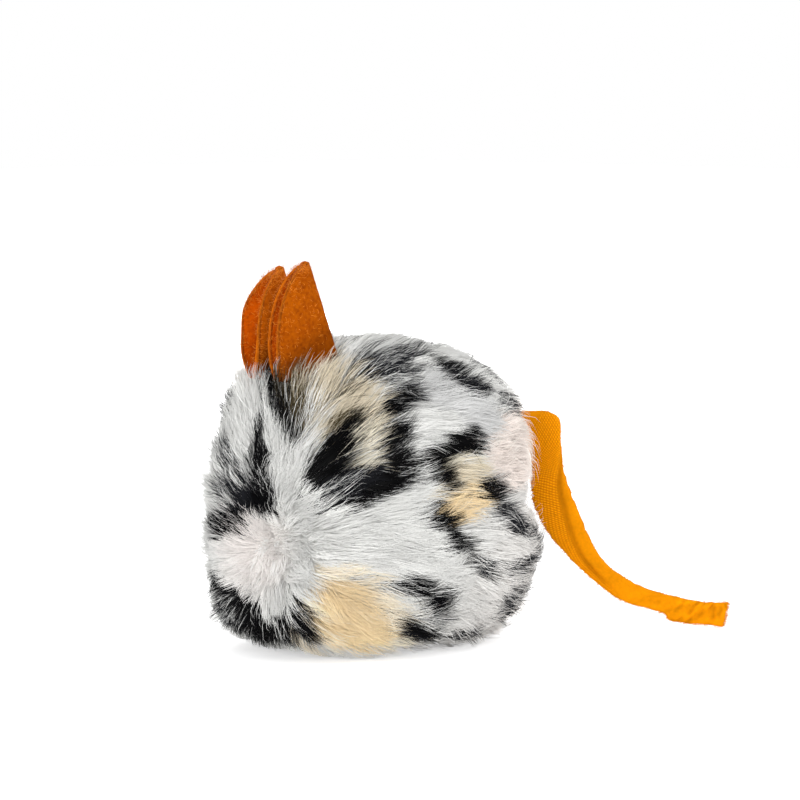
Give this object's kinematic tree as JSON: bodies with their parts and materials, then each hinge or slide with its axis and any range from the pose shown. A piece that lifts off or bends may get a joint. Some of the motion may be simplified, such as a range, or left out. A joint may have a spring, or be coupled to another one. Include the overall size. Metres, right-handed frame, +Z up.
{
  "type": "catnip mouse",
  "caption": "Stuffed fur mouse for cats with folded felt ears, a folded tape tail and a catnip pocket in the belly under a hook-and-loop flap.",
  "frame": {"origin": "On the floor under the middle of the body, on the flat underside of the belly panel behind the pocket's mouth.", "axes": "+X from the nose to the rump, +Y to the mouse's right, +Z up. The toy sits on its belly with the pocket closed, the ears as sewn and the tail swung to the mouse's left."},
  "size_m": [0.1067, 0.0701, 0.0816],
  "materials": {
    "fur": "matte",
    "felt": "matte",
    "knit_tape": "matte",
    "fibre_fill": "matte",
    "lining": "matte",
    "dried_herb": "matte",
    "closing_strip": "matte"
  },
  "bodies": {
    "body": {"left_side_panel": "fur", "right_side_panel": "fur", "belly_panel": "fur", "stuffing": "fibre_fill", "pocket_liner": "lining", "catnip_fill": "dried_herb", "loop_strip": "closing_strip", "left_ear_tab": "felt", "right_ear_tab": "felt", "tail_tab": "knit_tape"},
    "flap": {"pocket_flap": "fur", "hook_strip": "closing_strip"},
    "left_ear": {"left_ear": "felt"},
    "right_ear": {"right_ear": "felt"},
    "tail_root": {"tail_root": "knit_tape"},
    "tail": {"tail": "knit_tape"}
  },
  "joints": [
    {"name": "flap_open", "type": "hinge", "parent": "body", "child": "flap", "pos_m": [-0.0207, 0, 0], "axis": [0, 1, 0], "range_deg": [0, 110]},
    {"name": "left_ear_flop", "type": "hinge", "parent": "body", "child": "left_ear", "pos_m": [-0.0245, -0.0046, 0.06126], "axis": [0.8048, -0.2308, 0.5468], "range_deg": [0, 50], "stiffness_Nm_per_rad": 0.002},
    {"name": "right_ear_flop", "type": "hinge", "parent": "body", "child": "right_ear", "pos_m": [-0.0245, 0.0036, 0.06146], "axis": [-0.7804, 0.2238, -0.5839], "range_deg": [0, 50], "stiffness_Nm_per_rad": 0.002},
    {"name": "tail_swing", "type": "hinge", "parent": "body", "child": "tail_root", "pos_m": [0.03629, 0, 0.0432], "axis": [0, 0, 1], "range_deg": [-10, 100]},
    {"name": "tail_lift", "type": "hinge", "parent": "tail_root", "child": "tail", "pos_m": [0.04387, -0.00904, 0.0432], "axis": [-0.766, -0.6428, 0], "range_deg": [0, 80]}
  ]
}
